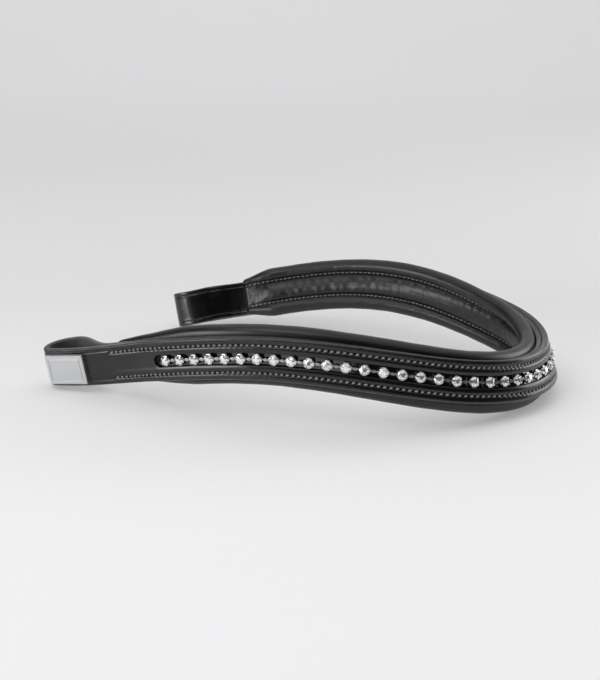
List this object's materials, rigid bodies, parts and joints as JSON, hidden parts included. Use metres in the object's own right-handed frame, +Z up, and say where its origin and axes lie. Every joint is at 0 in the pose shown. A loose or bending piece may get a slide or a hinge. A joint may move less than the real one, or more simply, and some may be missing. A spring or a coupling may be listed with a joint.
{
  "type": "padded browband",
  "caption": "Curved padded leather browband with a channel of claw-set crystals, stitched rolls and a strap loop at each end.",
  "frame": {"origin": "middle of the base of the part's bounding box, on the surface that it lies on", "axes": "+Z up; X along the open side of the C, with the badge's end at -X; the crystals face outwards"},
  "size_m": [0.1998, 0.1492, 0.0358],
  "materials": {
    "strap_leather": "smooth black bridle leather, satin",
    "lining_leather": "soft black nappa leather, satin-matt",
    "patent_leather": "black patent leather, high gloss",
    "thread": "waxed black polyester thread",
    "cup_metal": "bright silver plate",
    "crystal": "clear cut crystal, polished",
    "badge_metal": "satin silver-grey metal",
    "foam": "closed-cell foam"
  },
  "bodies": {
    "root": {"face_strap": "strap_leather", "backing_strap": "strap_leather", "channel_bed": "patent_leather", "crystal_cups": "cup_metal", "crystals": "crystal", "chain_links": "cup_metal", "chain_end_ties": "thread", "lining": "lining_leather", "centre_foam": "foam", "top_roll_core": "foam", "bottom_roll_core": "foam", "upper_row_thread": "thread", "lower_row_thread": "thread", "upper_row_bobbin_thread": "thread", "lower_row_bobbin_thread": "thread", "near_lining_end_stitches": "thread", "far_lining_end_stitches": "thread", "badge_plate": "badge_metal", "badge_washers": "badge_metal"}
  },
  "joints": []
}
